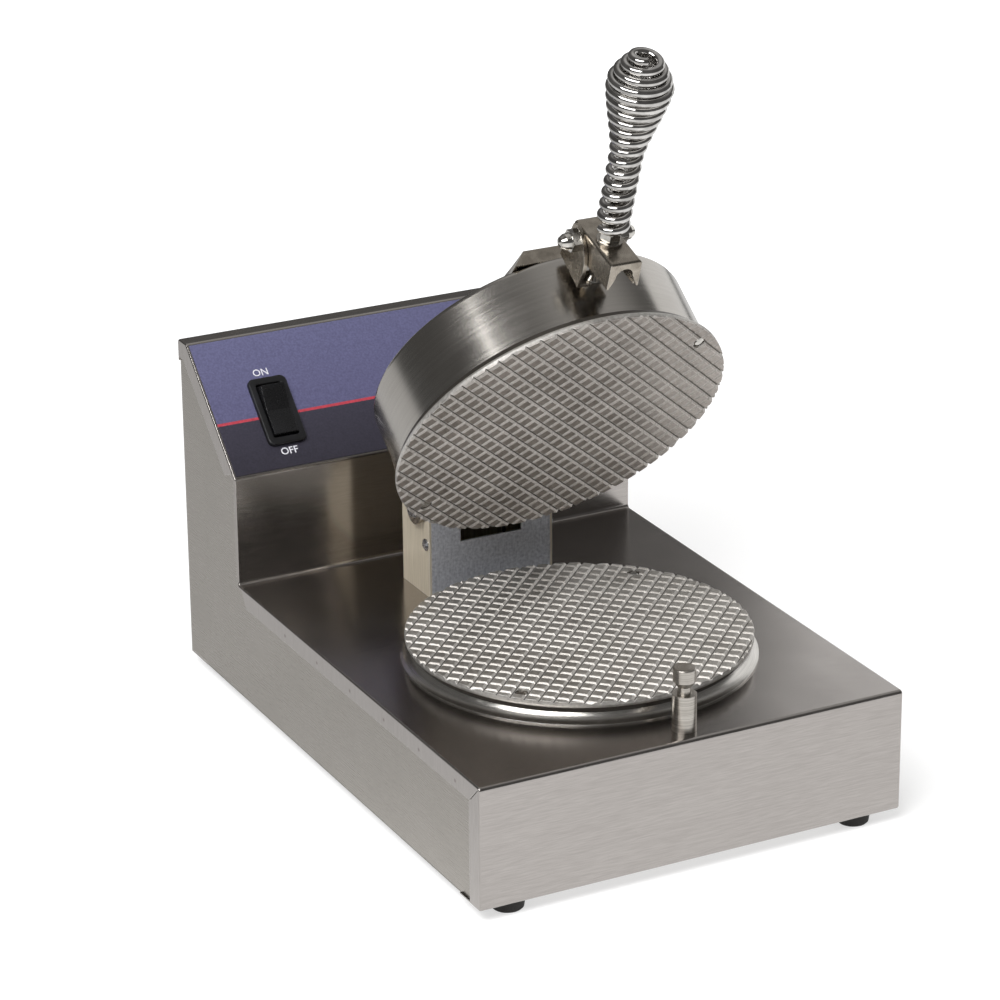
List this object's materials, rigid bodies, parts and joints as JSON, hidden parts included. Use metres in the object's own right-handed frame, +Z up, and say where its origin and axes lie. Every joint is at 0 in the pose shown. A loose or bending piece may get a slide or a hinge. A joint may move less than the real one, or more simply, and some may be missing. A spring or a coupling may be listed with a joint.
{
  "type": "electric cone iron",
  "caption": "Countertop cone and wafer iron with a sheet steel base, two round waffle grids, a lid on a pedestal hinge and a coil spring handle with a forked latch.",
  "frame": {"origin": "middle of the footprint at table height, under the feet", "axes": "+X to the user's right, +Y from the front face to the back, +Z up"},
  "size_m": [0.237, 0.358, 0.4022],
  "materials": {
    "brushed_stainless": "brushed",
    "dark_stainless": "brushed",
    "turned_stainless": "turned",
    "polished_steel": "polished",
    "galvanised_sheet": "satin",
    "zinc_screws": "satin",
    "chrome_nuts": "polished",
    "chrome_wire": "polished",
    "spring_steel": "oiled",
    "heater_sheath": "satin",
    "cast_aluminium": "as cast",
    "black_rubber": "matt",
    "black_plastic": "matt",
    "gloss_black_plastic": "gloss",
    "white_plastic": "matt",
    "printed_film": "satin",
    "amber_lens": "gloss",
    "mineral_fibre": "matt"
  },
  "bodies": {
    "base": {"body_wrap": "brushed_stainless", "side_panel_left": "brushed_stainless", "side_panel_right": "brushed_stainless", "back_panel": "brushed_stainless", "back_screws": "zinc_screws", "bottom_plate": "galvanised_sheet", "bottom_screws": "zinc_screws", "foot_front_left": "black_rubber", "foot_front_right": "black_rubber", "foot_rear_left": "black_rubber", "foot_rear_right": "black_rubber", "foot_screws": "zinc_screws", "panel_overlay": "printed_film", "switch_bezel": "black_plastic", "pilot_body": "black_plastic", "pilot_lens": "amber_lens", "cord_gland": "black_plastic", "terminal_block": "white_plastic", "lower_grid": "cast_aluminium", "lower_element": "heater_sheath", "lower_element_clamp": "galvanised_sheet", "lower_grid_screws": "zinc_screws", "collar_ring": "polished_steel", "heat_pan": "galvanised_sheet", "pan_insulation": "mineral_fibre", "thermostat": "black_plastic", "latch_post": "turned_stainless", "post_nut": "zinc_screws", "pedestal_cover": "brushed_stainless", "pedestal_front": "brushed_stainless", "pedestal_screws": "zinc_screws", "hinge_washers": "turned_stainless", "hinge_springs": "spring_steel"},
    "lid": {"upper_grid": "cast_aluminium", "upper_element": "heater_sheath", "upper_element_clamp": "galvanised_sheet", "upper_grid_screws": "zinc_screws", "drum": "brushed_stainless", "drum_tabs": "galvanised_sheet", "lid_insulation": "mineral_fibre", "hinge_arm": "brushed_stainless", "arm_screws": "zinc_screws", "clevis": "dark_stainless", "clevis_boss": "turned_stainless", "clevis_bolt": "zinc_screws", "pivot_bolt": "zinc_screws", "acorn_nuts": "chrome_nuts", "hinge_pin": "turned_stainless", "hinge_clip": "zinc_screws"},
    "handle": {"latch_bracket": "dark_stainless", "handle_stud": "zinc_screws", "lock_washer": "zinc_screws", "jam_nut": "zinc_screws", "coil_grip": "chrome_wire"},
    "rocker": {"switch_rocker": "gloss_black_plastic"}
  },
  "joints": [
    {"name": "lid_hinge", "type": "hinge", "parent": "base", "child": "lid", "pos_m": [0, 0.0496, 0.1193], "axis": [-1, 0, 0], "range_deg": [-53.9, 0]},
    {"name": "handle_pivot", "type": "hinge", "parent": "lid", "child": "handle", "pos_m": [0, -0.07693, 0.29808], "axis": [-1, 0, 0], "range_deg": [-17, 35]},
    {"name": "switch_rock", "type": "hinge", "parent": "base", "child": "rocker", "pos_m": [-0.0825, 0.1277, 0.15504], "axis": [1, 0, 0], "range_deg": [-16, 0]}
  ]
}
